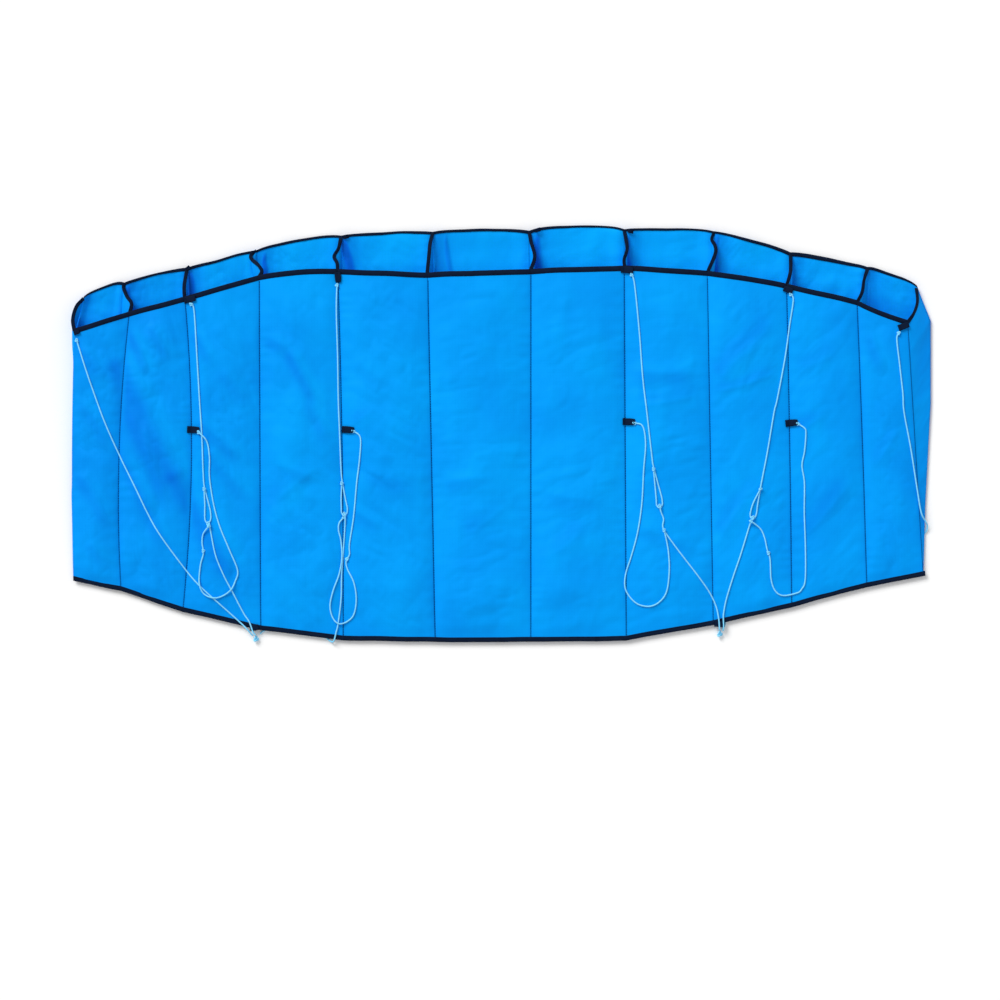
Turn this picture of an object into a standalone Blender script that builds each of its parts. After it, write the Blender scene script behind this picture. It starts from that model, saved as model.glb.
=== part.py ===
"""Parafoil kite with eleven cells, lying on its upper skin with the bridle side up.

Metres. +X runs along the span, +Y towards the open mouths, +Z up from the floor.
The lower skin (bridle side) is on top. The upper skin lies on the floor and reaches
further forward, so the eleven cell mouths show between the two leading edges.
"""

import math

import bpy
from mathutils import Vector

# ---------------------------------------------------------------- driving dimensions
# Each rib in plan: lower leading edge, tail, upper leading edge, sideways bow of its seam
RIBS = [
    ((-0.697, 0.171), (-0.701, -0.2415), (-0.684, 0.224), -0.003),
    ((-0.607, 0.198), (-0.623, -0.2575), (-0.617, 0.247), -0.010),
    ((-0.517, 0.224), (-0.522, -0.292), (-0.515, 0.271), 0.013),
    ((-0.395, 0.2585), (-0.394, -0.3215), (-0.400, 0.301), 0.0),
    ((-0.267, 0.268), (-0.259, -0.3385), (-0.262, 0.324), 0.003),
    ((-0.120, 0.262), (-0.108, -0.3415), (-0.112, 0.330), 0.0),
    ((0.049, 0.269), (0.049, -0.3415), (0.046, 0.332), 0.0),
    ((0.201, 0.2735), (0.205, -0.339), (0.202, 0.334), 0.0),
    ((0.337, 0.2655), (0.348, -0.3135), (0.348, 0.331), 0.0),
    ((0.466, 0.244), (0.476, -0.284), (0.474, 0.297), 0.001),
    ((0.581, 0.218), (0.599, -0.2515), (0.600, 0.272), 0.001),
    ((0.664, 0.185), (0.692, -0.2335), (0.681, 0.242), 0.0),
]
# Outer seams of the upper skin at the two ends, from tail to nose
END_SEAMS = {
    0: [(-0.701, -0.2415), (-0.704, -0.10), (-0.700, 0.03), (-0.698, 0.17), (-0.684, 0.224)],
    11: [(0.692, -0.2335), (0.695, -0.12), (0.704, 0.05), (0.704, 0.185), (0.681, 0.242)],
}
CELLS = 11
CENTRE_SHIFT = (-0.000078, 0.00079)  # moves the finished cloth so that its box is centred

SKIN = 0.0009  # thickness of a skin
RIB = 0.0008  # thickness of a rib
GAP = 0.0003  # clearance between separate pieces
MOUTH_TAPE = 0.0086  # width of the binding tape at the mouths
TAIL_TAPE = 0.0078  # and at the tail
SEAM_TAIL = 0.0058  # height of the lower skin's seams at the tail
SEAM_NOSE = 0.0270  # and at the mouths
PUFF = 0.050  # rise of a cell over its width
UPPER_SEAM = 0.0034  # height of the upper skin's seams above the floor
NOSE_BULGE = 0.007  # how far each upper leading edge bows forward
CORD_R = 0.0012  # cord radius
KNOT_R = 0.0035  # tow knot radius
KNOT_L = 0.0090  # tow knot length
TAB_T = 0.0012  # thickness of a folded tape tab
FOLD_RISE = 0.0008  # height of the fold lines above the lower skin's seams

BODIES = {"outer_left": (0, 3), "inner_left": (3, 5), "centre": (5, 6), "inner_right": (6, 8), "outer_right": (8, 11)}
HINGE_RIBS = {3: 1, 5: 1, 6: -1, 8: -1}  # rib -> side of the hinge line that the rib stands on

# ---------------------------------------------------------------- surfaces


def mix(a, b, f):
    return a + (b - a) * f


def smooth(f):
    f = min(1.0, max(0.0, f))
    return f * f * (3 - 2 * f)


def seam_low(i, t):
    """Plan position on rib i's lower seam, from the tail (t = 0) to the mouth (t = 1)."""
    nose, tail, _, bow = RIBS[i]
    return mix(tail[0], nose[0], t) + bow * 4 * t * (1 - t), mix(tail[1], nose[1], t)


def seam_up(i, t):
    """Plan position on rib i's upper seam, from the tail to the upper leading edge."""
    _, tail, front, bow = RIBS[i]
    y = mix(tail[1], front[1], t)
    if i in END_SEAMS:
        line = END_SEAMS[i]
        for (x0, y0), (x1, y1) in zip(line, line[1:]):
            if y <= y1 + 1e-9:
                return mix(x0, x1, (y - y0) / (y1 - y0)), y
    return mix(tail[0], front[0], t**3) + bow * 4 * t * (1 - t), y


def across(seam, s, t):
    """Plan position at rib coordinate s (2.5 is half way between ribs 2 and 3)."""
    i = min(CELLS - 1, max(0, int(math.floor(s))))
    (ax, ay), (bx, by) = seam(i, t), seam(i + 1, t)
    return mix(ax, bx, s - i), mix(ay, by, s - i)


def seam_height(t):
    return mix(SEAM_TAIL, SEAM_NOSE, t)


def low_height(s, t):
    """Height of the lower skin's outer face: straight seams with a puffed cell between."""
    i = min(CELLS - 1, max(0, int(math.floor(s))))
    u = min(1.0, max(0.0, s - i))
    width = RIBS[i + 1][0][0] - RIBS[i][0][0]
    ramp = smooth(t / 0.16) * (1 - 0.35 * smooth((t - 0.85) / 0.15))
    return seam_height(t) + PUFF * width * 4 * u * (1 - u) * ramp


def low_point(s, t, lift=0.0):
    x, y = across(seam_low, s, t)
    return Vector((x, y, low_height(s, t) + lift))


def up_point(s, t, lift=0.0):
    """Underside of the upper skin: a flat belly on the floor in each cell, raised at the seams."""
    i = min(CELLS - 1, max(0, int(math.floor(s))))
    u = s - i
    x, y = across(seam_up, s, t)
    belly = smooth((min(u, 1 - u) - 0.04) / 0.16) * smooth((t - 0.05) / 0.08)
    y += NOSE_BULGE * 4 * u * (1 - u) * smooth((t - 0.8) / 0.2)
    return Vector((x, y, UPPER_SEAM * (1 - belly) + lift))


def chord(seam, s):
    return across(seam, s, 1.0)[1] - across(seam, s, 0.0)[1]


def locate(x, y):
    """Rib and chord coordinates of a plan point on the lower skin."""
    for i in range(CELLS):
        u = 0.5
        for _ in range(12):
            lo, hi = across(seam_low, i + u, 0.0)[1], across(seam_low, i + u, 1.0)[1]
            t = (y - lo) / (hi - lo)
            a, b = seam_low(i, t)[0], seam_low(i + 1, t)[0]
            u = min(1.3, max(-0.3, (x - a) / (b - a)))
        if u <= 1.0 or i == CELLS - 1:
            return i + min(1.0, max(0.0, u)), t
    return 0.0, 0.0


def on_top(x, y):
    s, t = locate(x, y)
    return low_height(s, min(1.0, max(0.0, t)))


# ---------------------------------------------------------------- builders

for old in list(bpy.data.objects):
    bpy.data.objects.remove(old)
kite = bpy.data.collections.new("parafoil_kite")
bpy.context.scene.collection.children.link(kite)


def finish(obj, name, colour, rough):
    obj.name = name
    for c in list(obj.users_collection):
        c.objects.unlink(obj)
    kite.objects.link(obj)
    mat = bpy.data.materials.new(name)
    mat.use_nodes = True
    shader = mat.node_tree.nodes["Principled BSDF"]
    shader.inputs["Base Color"].default_value = (*colour, 1)
    shader.inputs["Roughness"].default_value = rough
    obj.data.materials.clear()
    obj.data.materials.append(mat)
    return obj


CLOTH = ((0.0, 0.35, 0.90), 0.65)
NAVY = ((0.004, 0.010, 0.030), 0.8)
WHITE = ((0.75, 0.82, 0.90), 0.8)


def sheet(name, us, vs, point, thickness, offset, look):
    """A closed sheet: a grid moved onto a surface and thickened."""
    bpy.ops.mesh.primitive_grid_add(x_subdivisions=len(us) - 1, y_subdivisions=len(vs) - 1, size=2)
    obj = bpy.context.object
    for v in obj.data.vertices:
        i = round((v.co.x + 1) / 2 * (len(us) - 1))
        j = round((v.co.y + 1) / 2 * (len(vs) - 1))
        v.co = point(us[i], vs[j])
    thick = obj.modifiers.new("thickness", "SOLIDIFY")
    thick.thickness = thickness
    thick.offset = offset
    return finish(obj, name, *look)


def spread(first, last, fractions):
    """Rib coordinates over whole cells, with the ends drawn in by the hinge gap."""
    out = []
    for i in range(first, last):
        out += [i + f for f in fractions if f > 0 or i == first]
    return out


def drawn_in(s, first, last, point, gap=GAP):
    """Move the two span-wise ends of a body's sheet in by a gap."""
    if s == first:
        point.x += gap
    elif s == last:
        point.x -= gap
    return point


PUFFED = [0, 0.12, 0.3, 0.5, 0.7, 0.88, 1]
BELLIED = [0, 0.08, 0.14, 0.2, 0.5, 0.8, 0.86, 0.92, 1]
CHORDWISE = [0, 0.06, 0.13, 0.3, 0.5, 0.7, 0.87, 1]

for body, (first, last) in BODIES.items():

    def lower(s, v):
        near = (TAIL_TAPE + GAP) / chord(seam_low, s)
        far = 1 - (MOUTH_TAPE + GAP) / chord(seam_low, s)
        return drawn_in(s, first, last, low_point(s, mix(near, far, v)))

    def upper(s, v):
        edge = (TAIL_TAPE + 3 * GAP) / chord(seam_up, s)
        return drawn_in(s, first, last, up_point(s, mix(edge, 1, v)))

    def mouth(s, v):
        wide = MOUTH_TAPE / chord(seam_low, s)
        return drawn_in(s, first, last, low_point(s, mix(1 - wide, 1, v), 0.0004), 0.0006)

    def tail(s, v):
        wide = TAIL_TAPE / chord(seam_low, s)
        x, y = across(seam_low, s, v * wide)
        return drawn_in(s, first, last, Vector((x, y, SEAM_TAIL + 0.0006)), 0.0006)

    sheet("lower_skin_" + body, spread(first, last, PUFFED), CHORDWISE, lower, SKIN, -1, CLOTH)
    sheet("upper_skin_" + body, spread(first, last, BELLIED), CHORDWISE, upper, SKIN, 1, CLOTH)
    sheet("mouth_tape_" + body, spread(first, last, PUFFED), [0, 1], mouth, 0.0016, -1, NAVY)
    sheet("tail_tape_" + body, spread(first, last, [0, 0.5, 1]), [0, 1], tail, 0.0035, -1, NAVY)

for i in range(CELLS + 1):

    def rib(v, w):
        """v runs from tail to mouth, w from the upper seam to the lower seam."""
        t = mix(0.08, 1.0, v)
        lx, ly = seam_low(i, t)
        ux, uy = seam_up(i, mix(0.08, 0.985, v))
        slack = 3 * GAP if i in END_SEAMS else GAP
        top = Vector((lx, ly, seam_height(t) - SKIN - GAP - slack))
        foot = Vector((ux, uy, UPPER_SEAM + SKIN + slack))
        point = foot.lerp(top, w)
        side = HINGE_RIBS.get(i, 1 if i == 0 else -1 if i == CELLS else 0)
        point.x += side * (GAP + 0.6 * RIB)
        return point

    along = [0, 0.15, 0.3, 0.45, 0.6, 0.75, 0.88, 1]
    sheet("rib_%02d" % (i + 1), along, [0, 1], rib, RIB, 0, CLOTH)

# Folded tape tabs: centre, half length along the span, half width along the chord
TABS = {
    "tab_nose_1": (-0.6925, 0.162, 0.0055, 0.0050),
    "tab_nose_3": (-0.510, 0.219, 0.0095, 0.0057),
    "tab_nose_5": (-0.267, 0.255, 0.0058, 0.0085),
    "tab_nose_8": (0.205, 0.267, 0.0095, 0.0057),
    "tab_nose_10": (0.468, 0.234, 0.0072, 0.0052),
    "tab_nose_12": (0.656, 0.1735, 0.0085, 0.0055),
    "tab_mid_3": (-0.505, 0.006, 0.0095, 0.0057),
    "tab_mid_5": (-0.252, 0.006, 0.0095, 0.0057),
    "tab_mid_8": (0.207, 0.019, 0.0095, 0.0057),
    "tab_mid_10": (0.473, 0.017, 0.0095, 0.0057),
    "tab_tail_4": (-0.4035, -0.318, 0.0080, 0.0057),
    "tab_tail_9": (0.3575, -0.312, 0.0080, 0.0057),
}
for name, (cx, cy, hx, hy) in TABS.items():

    def tab(a, b):
        x, y = cx + a * hx, cy + b * hy
        return Vector((x, y, on_top(x, y) + 0.0009 + TAB_T))

    sheet(name, [-1, -0.5, 0, 0.5, 1], [-1, 1], tab, TAB_T, -1, NAVY)


# ---------------------------------------------------------------- bridle cords
# A route is a list of (x, y, lift): lift is the height of the cord's centre above the
# cloth, or, written (x, y, None, z), its height above the floor.
ON = 0.0015
ROUTES = {
    "cord_tip_left": [
        (-0.693, 0.1515, ON), (-0.673, 0.089, ON), (-0.650, 0.024, ON), (-0.625, -0.034, ON),
        (-0.598, -0.089, ON), (-0.566, -0.153, ON), (-0.522, -0.216, ON), (-0.495, -0.248, ON),
        (-0.459, -0.281, ON), (-0.428, -0.309, 0.0020), (-0.417, -0.3195, None, 0.0095),
        (-0.4095, -0.3285, None, 0.0070), (-0.4065, -0.3315, None, 0.0055),
    ],
    "cord_a_3": [
        (-0.506, 0.2105, ON), (-0.501, 0.198, ON), (-0.496, 0.114, ON), (-0.492, 0.045, ON),
        (-0.489, -0.002, ON), (-0.487, -0.063, ON), (-0.485, -0.088, ON), (-0.477, -0.122, ON),
        (-0.4755, -0.142, ON), (-0.4765, -0.149, ON), (-0.4795, -0.150, ON), (-0.4815, -0.144, ON),
        (-0.4815, -0.122, ON), (-0.4855, -0.101, ON),
    ],
    "cord_main_3": [
        (-0.475, -0.1555, ON), (-0.467, -0.199, ON), (-0.453, -0.234, ON), (-0.440, -0.259, ON),
        (-0.422, -0.294, ON), (-0.4125, -0.3085, 0.0030), (-0.406, -0.326, None, 0.0100),
        (-0.4015, -0.3305, None, 0.0092),
    ],
    "cord_b_3": [
        (-0.494, 0.0015, ON), (-0.481, -0.013, ON), (-0.4765, -0.039, ON), (-0.4765, -0.073, ON),
        (-0.470, -0.116, ON), (-0.460, -0.152, ON), (-0.444, -0.191, ON), (-0.431, -0.224, ON),
        (-0.435, -0.242, ON), (-0.443, -0.257, ON), (-0.458, -0.267, ON), (-0.472, -0.269, ON),
        (-0.487, -0.262, ON), (-0.494, -0.244, ON), (-0.492, -0.216, ON), (-0.487, -0.196, ON),
        (-0.489, -0.179, ON), (-0.487, -0.164, ON), (-0.480, -0.1545, ON),
    ],
    "cord_a_5": [
        (-0.268, 0.2415, ON), (-0.269, 0.199, ON), (-0.267, 0.124, ON), (-0.266, 0.055, ON),
        (-0.264, 0.001, ON), (-0.262, -0.053, ON), (-0.260, -0.078, ON), (-0.254, -0.115, ON),
        (-0.2525, -0.130, ON), (-0.2545, -0.1345, ON), (-0.2585, -0.1335, ON), (-0.260, -0.125, ON),
        (-0.2615, -0.105, ON), (-0.2635, -0.094, ON),
    ],
    "cord_main_5": [
        (-0.2545, -0.1395, ON), (-0.258, -0.189, ON), (-0.261, -0.230, ON), (-0.262, -0.271, ON),
        (-0.267, -0.312, ON), (-0.270, -0.325, 0.0022), (-0.273, -0.337, None, 0.0080),
        (-0.276, -0.3415, None, 0.0045), (-0.281, -0.3395, None, 0.0015), (-0.290, -0.3335, None, 0.0014),
        (-0.315, -0.3275, None, 0.0014), (-0.345, -0.323, None, 0.0014), (-0.375, -0.3205, None, 0.0014),
        (-0.388, -0.3225, None, 0.0014), (-0.3955, -0.3285, None, 0.0018),
    ],
    "cord_b_5": [
        (-0.2415, 0.0035, ON), (-0.230, -0.007, ON), (-0.231, -0.040, ON), (-0.236, -0.081, ON),
        (-0.241, -0.135, ON), (-0.248, -0.181, ON), (-0.248, -0.198, ON), (-0.2535, -0.209, ON),
        (-0.2515, -0.222, ON), (-0.241, -0.244, ON), (-0.237, -0.271, ON), (-0.241, -0.296, ON),
        (-0.252, -0.308, ON), (-0.266, -0.3115, ON), (-0.276, -0.301, ON), (-0.280, -0.282, ON),
        (-0.275, -0.258, ON), (-0.265, -0.230, ON), (-0.2605, -0.203, ON), (-0.262, -0.176, ON),
        (-0.266, -0.158, ON), (-0.2645, -0.146, ON), (-0.259, -0.140, ON),
    ],
    "cord_a_8": [
        (0.213, 0.2585, ON), (0.218, 0.242, ON), (0.226, 0.162, ON), (0.231, 0.094, ON),
        (0.238, 0.034, ON), (0.246, -0.035, ON), (0.249, -0.055, ON), (0.260, -0.098, ON),
        (0.2625, -0.116, ON), (0.2605, -0.1215, ON), (0.2565, -0.1205, ON), (0.2555, -0.113, ON),
        (0.2525, -0.090, ON), (0.2475, -0.072, ON),
    ],
    "cord_main_8": [
        (0.2605, -0.1265, ON), (0.265, -0.138, ON), (0.265, -0.163, ON), (0.282, -0.181, ON),
        (0.301, -0.206, ON), (0.322, -0.233, ON), (0.341, -0.260, ON), (0.352, -0.283, ON),
        (0.3565, -0.3045, 0.0036), (0.3575, -0.3195, None, 0.0100), (0.3575, -0.3225, None, 0.0090),
    ],
    "cord_b_8": [
        (0.218, 0.0165, ON), (0.229, 0.014, ON), (0.234, 0.003, ON), (0.236, -0.021, ON),
        (0.233, -0.061, ON), (0.230, -0.116, ON), (0.223, -0.163, ON), (0.213, -0.201, ON),
        (0.204, -0.230, ON), (0.203, -0.252, ON), (0.211, -0.268, ON), (0.225, -0.280, ON),
        (0.244, -0.283, ON), (0.260, -0.275, ON), (0.271, -0.258, ON), (0.275, -0.225, ON),
        (0.274, -0.198, ON), (0.271, -0.178, ON), (0.269, -0.1715, ON),
    ],
    "cord_a_10": [
        (0.473, 0.2265, ON), (0.477, 0.217, ON), (0.471, 0.175, ON), (0.464, 0.124, ON),
        (0.451, 0.055, ON), (0.446, 0.034, ON), (0.435, -0.032, ON), (0.424, -0.089, ON),
        (0.4195, -0.120, ON), (0.416, -0.1365, ON), (0.412, -0.1395, ON), (0.409, -0.136, ON),
        (0.4135, -0.118, ON), (0.4195, -0.100, ON),
    ],
    "cord_main_10": [
        (0.4065, -0.1455, ON), (0.402, -0.165, ON), (0.392, -0.198, ON), (0.380, -0.234, ON),
        (0.369, -0.271, ON), (0.3645, -0.294, 0.0020), (0.364, -0.3045, 0.0036),
        (0.3645, -0.316, None, 0.0095), (0.3635, -0.3235, None, 0.0070),
    ],
    "cord_b_10": [
        (0.485, 0.0155, ON), (0.495, 0.009, ON), (0.498, 0.001, ON), (0.496, -0.029, ON),
        (0.492, -0.053, ON), (0.496, -0.081, ON), (0.496, -0.130, ON), (0.498, -0.184, ON),
        (0.498, -0.239, ON), (0.492, -0.2555, ON), (0.484, -0.2615, ON), (0.462, -0.2655, ON),
        (0.449, -0.258, ON), (0.442, -0.239, ON), (0.440, -0.206, ON), (0.435, -0.189, ON),
        (0.431, -0.171, ON), (0.424, -0.156, ON), (0.415, -0.148, ON),
    ],
    "cord_tip_right": [
        (0.649, 0.1635, ON), (0.646, 0.152, ON), (0.651, 0.109, ON), (0.656, 0.066, ON),
        (0.658, 0.036, ON), (0.669, -0.021, ON), (0.679, -0.081, ON), (0.687, -0.128, None, 0.0145),
        (0.6945, -0.143, None, 0.0095), (0.6985, -0.151, None, 0.0050), (0.6975, -0.159, None, 0.0014),
        (0.6925, -0.167, None, 0.0014), (0.6905, -0.185, None, 0.0014), (0.685, -0.207, None, 0.0014),
        (0.660, -0.2215, None, 0.0014), (0.600, -0.2335, None, 0.0014), (0.530, -0.250, None, 0.0014),
        (0.476, -0.2625, None, 0.0014), (0.420, -0.279, None, 0.0014), (0.380, -0.2915, None, 0.0014),
        (0.370, -0.300, None, 0.0014), (0.3665, -0.314, None, 0.0014), (0.3630, -0.3215, None, 0.0016),
    ],
}


def catmull(a, b, c, d, f):
    """One value on a smooth curve between b and c."""
    return 0.5 * (2 * b + (c - a) * f + (2 * a - 5 * b + 4 * c - d) * f * f + (3 * b - a - 3 * c + d) * f**3)


def route(points, step=0.0015):
    """Dense centreline through the route points, laid on the cloth where they say so."""
    ends = [points[0]] + points + [points[-1]]
    line = []
    for k in range(1, len(ends) - 2):
        a, b, c, d = ends[k - 1 : k + 3]
        count = max(2, int(math.dist(b[:2], c[:2]) / step))
        zb = b[3] if b[2] is None else on_top(b[0], b[1]) + b[2]
        zc = c[3] if c[2] is None else on_top(c[0], c[1]) + c[2]
        for n in range(count + (k == len(ends) - 3)):
            f = n / count
            x, y = (catmull(a[m], b[m], c[m], d[m], f) for m in (0, 1))
            if b[2] is None or c[2] is None:
                z = mix(zb, zc, smooth(f) if abs(zb - zc) > 0.002 else f)
            else:
                z = on_top(x, y) + mix(b[2], c[2], f)
            line.append(Vector((x, y, z)))
    return line


def lift_over(line, laid, reach=0.0028):
    """Raise a cord where it crosses one laid before it, or an earlier stretch of itself."""
    need = [0.0] * len(line)
    for k, p in enumerate(line):
        others = laid + [q for q in line[: max(0, k - 10)] if (q - p).length < 0.02]
        for q in others:
            flat = math.hypot(p.x - q.x, p.y - q.y)
            if flat < reach and abs(q.z - p.z) < reach:
                need[k] = max(need[k], q.z + math.sqrt(reach * reach - flat * flat) - p.z)
    for k, p in enumerate(line):
        best = 0.0
        for m in range(max(0, k - 9), min(len(line), k + 10)):
            best = max(best, need[m] * smooth(1 - max(0, abs(m - k) - 2) / 8))
        p.z += best
    return line


def thin(line, tolerance=0.00035):
    """Leave out the points that a straight line already passes close to."""
    a, b = line[0], line[-1]
    run = b - a
    far, at = 0.0, 0
    for k in range(1, len(line) - 1):
        f = min(1.0, max(0.0, (line[k] - a).dot(run) / max(run.length_squared, 1e-12)))
        off = (line[k] - a - run * f).length
        if off > far:
            far, at = off, k
    if far <= tolerance:
        return [a, b]
    return thin(line[: at + 1], tolerance)[:-1] + thin(line[at:], tolerance)


laid = []
for name, points in ROUTES.items():
    line = lift_over(route(points), laid)
    laid += line
    kept = thin(line)
    data = bpy.data.curves.new(name, "CURVE")
    data.dimensions = "3D"
    data.bevel_depth = CORD_R
    data.bevel_resolution = 2
    data.use_fill_caps = True
    spline = data.splines.new("POLY")
    spline.points.add(len(kept) - 1)
    for slot, p in zip(spline.points, kept):
        slot.co = (*p, 1)
    tube = bpy.data.objects.new(name, data)
    bpy.context.scene.collection.objects.link(tube)
    finish(tube, name, *WHITE)

# Tow knots, each with a flat end towards the tail
for name, (x, y, z) in {
    "tow_knot_left": (-0.4015, -0.3355, 0.0042),
    "tow_knot_right": (0.3585, -0.3275, 0.0042),
}.items():
    bpy.ops.mesh.primitive_cylinder_add(
        vertices=20, radius=KNOT_R, depth=KNOT_L, location=(x, y - KNOT_L / 2 + 0.002, z), rotation=(math.pi / 2, 0, 0)
    )
    knot = bpy.context.object
    rounded = knot.modifiers.new("rounded", "BEVEL")
    rounded.width = 0.0010
    rounded.segments = 2
    rounded.limit_method = "ANGLE"
    finish(knot, name, *WHITE)

for obj in kite.objects:
    obj.location.x += CENTRE_SHIFT[0]
    obj.location.y += CENTRE_SHIFT[1]

# ---------------------------------------------------------------- folds
# Each body hangs from an empty on its fold line: the rib seam's top face, from tail to mouth
CORD_AND_TAB_BODIES = {
    "outer_left": ["tip_left", "_3", "_4", "nose_1", "knot_left"],
    "inner_left": ["_5"],
    "inner_right": ["_8"],
    "outer_right": ["tip_right", "_10", "_9", "nose_12", "knot_right"],
}
RIB_BODIES = {"outer_left": (1, 3), "inner_left": (4, 5), "inner_right": (8, 9), "outer_right": (10, 12)}
FOLDS = {"inner_left": (5, None), "outer_left": (3, "inner_left"), "inner_right": (6, None), "outer_right": (8, "inner_right")}

bpy.context.view_layer.update()
empties = {}
for body, (i, parent) in FOLDS.items():
    (tx, ty), (nx, ny) = seam_low(i, 0), seam_low(i, 1)
    empty = bpy.data.objects.new("fold_" + body, None)
    empty.empty_display_size = 0.05
    kite.objects.link(empty)
    tail_end = Vector((tx + CENTRE_SHIFT[0], ty + CENTRE_SHIFT[1], SEAM_TAIL + FOLD_RISE))
    nose_end = Vector((nx + CENTRE_SHIFT[0], ny + CENTRE_SHIFT[1], SEAM_NOSE + FOLD_RISE))
    empty.location = (tail_end + nose_end) / 2
    empties[body] = empty
    bpy.context.view_layer.update()
    if parent:
        empty.parent = empties[parent]
        empty.matrix_parent_inverse = empties[parent].matrix_world.inverted()
        bpy.context.view_layer.update()


def body_of(name):
    for body in FOLDS:
        if name.endswith(body):
            return body
        if name.startswith("rib_") and RIB_BODIES[body][0] <= int(name[4:]) <= RIB_BODIES[body][1]:
            return body
        if name.startswith(("cord", "tab", "tow")) and name.endswith(tuple(CORD_AND_TAB_BODIES[body])):
            return body
    return None


for obj in list(kite.objects):
    body = body_of(obj.name) if obj.type != "EMPTY" else None
    if body:
        obj.parent = empties[body]
        obj.matrix_parent_inverse = empties[body].matrix_world.inverted()
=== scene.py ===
"""Parafoil kite: the look of each cloth panel, tape and bridle cord, in the part's own frame."""

import math

import bpy
import numpy as np
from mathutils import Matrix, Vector


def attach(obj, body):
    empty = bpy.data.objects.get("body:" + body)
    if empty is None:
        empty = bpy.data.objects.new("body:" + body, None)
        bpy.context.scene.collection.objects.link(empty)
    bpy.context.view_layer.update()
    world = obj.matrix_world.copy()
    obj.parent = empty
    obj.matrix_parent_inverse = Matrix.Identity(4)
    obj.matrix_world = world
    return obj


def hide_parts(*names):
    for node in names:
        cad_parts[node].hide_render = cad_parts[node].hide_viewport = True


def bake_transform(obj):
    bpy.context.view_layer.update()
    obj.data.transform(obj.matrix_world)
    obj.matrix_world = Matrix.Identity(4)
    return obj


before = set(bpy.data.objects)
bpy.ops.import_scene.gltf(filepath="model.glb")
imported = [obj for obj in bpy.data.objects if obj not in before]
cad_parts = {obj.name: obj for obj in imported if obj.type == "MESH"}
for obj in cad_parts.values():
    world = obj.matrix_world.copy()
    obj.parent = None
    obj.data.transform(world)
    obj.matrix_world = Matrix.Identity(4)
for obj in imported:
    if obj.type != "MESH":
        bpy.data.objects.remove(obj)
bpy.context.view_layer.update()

# ---- camera, light and floor
VIEW_WIDTH = 1.64  # metres of floor across the picture
LENS, SENSOR = 140, 36  # millimetres
CAMERA_AT = (-0.0019, -0.1082)
KEY_DIRECTION = (0.5, -0.72, -0.62)


def set_stage():
    scene = bpy.context.scene
    scene.view_settings.view_transform = "Standard"
    camera = bpy.data.objects.new("camera", bpy.data.cameras.new("camera"))
    scene.collection.objects.link(camera)
    camera.data.lens = LENS
    camera.location = (*CAMERA_AT, VIEW_WIDTH * LENS / SENSOR)
    scene.camera = camera

    world = bpy.data.worlds.new("soft studio")
    world.use_nodes = True
    background = world.node_tree.nodes["Background"]
    background.inputs["Color"].default_value = (1, 1, 1, 1)
    background.inputs["Strength"].default_value = 0.6
    scene.world = world

    light = bpy.data.lights.new("key", "SUN")
    light.energy = 2.55
    light.angle = 0.5
    key = bpy.data.objects.new("key", light)
    key.rotation_euler = Vector(KEY_DIRECTION).to_track_quat("-Z", "Y").to_euler()
    scene.collection.objects.link(key)

    bpy.ops.mesh.primitive_plane_add(size=30, location=(0, 0, -0.0004))
    floor = bpy.context.object
    floor.name = "floor"
    look = Look("floor", 0.9, 0.0)
    look.put(look.shader, {"Base Color": (0.97, 0.97, 0.97, 1)})
    floor.data.materials.append(look.mat)


# ---- surfaces of the canopy
# Each rib in plan: lower leading edge, tail, upper leading edge, sideways bow of its seam
RIBS = [
    ((-0.697, 0.171), (-0.701, -0.2415), (-0.684, 0.224), -0.003),
    ((-0.607, 0.198), (-0.623, -0.2575), (-0.617, 0.247), -0.01),
    ((-0.517, 0.224), (-0.522, -0.292), (-0.515, 0.271), 0.013),
    ((-0.395, 0.2585), (-0.394, -0.3215), (-0.4, 0.301), 0.0),
    ((-0.267, 0.268), (-0.259, -0.3385), (-0.262, 0.324), 0.003),
    ((-0.12, 0.262), (-0.108, -0.3415), (-0.112, 0.33), 0.0),
    ((0.049, 0.269), (0.049, -0.3415), (0.046, 0.332), 0.0),
    ((0.201, 0.2735), (0.205, -0.339), (0.202, 0.334), 0.0),
    ((0.337, 0.2655), (0.348, -0.3135), (0.348, 0.331), 0.0),
    ((0.466, 0.244), (0.476, -0.284), (0.474, 0.297), 0.001),
    ((0.581, 0.218), (0.599, -0.2515), (0.6, 0.272), 0.001),
    ((0.664, 0.185), (0.692, -0.2335), (0.681, 0.242), 0.0),
]
END_SEAMS = {
    0: [(-0.701, -0.2415), (-0.704, -0.1), (-0.7, 0.03), (-0.698, 0.17), (-0.684, 0.224)],
    11: [(0.692, -0.2335), (0.695, -0.12), (0.704, 0.05), (0.704, 0.185), (0.681, 0.242)],
}
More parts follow.
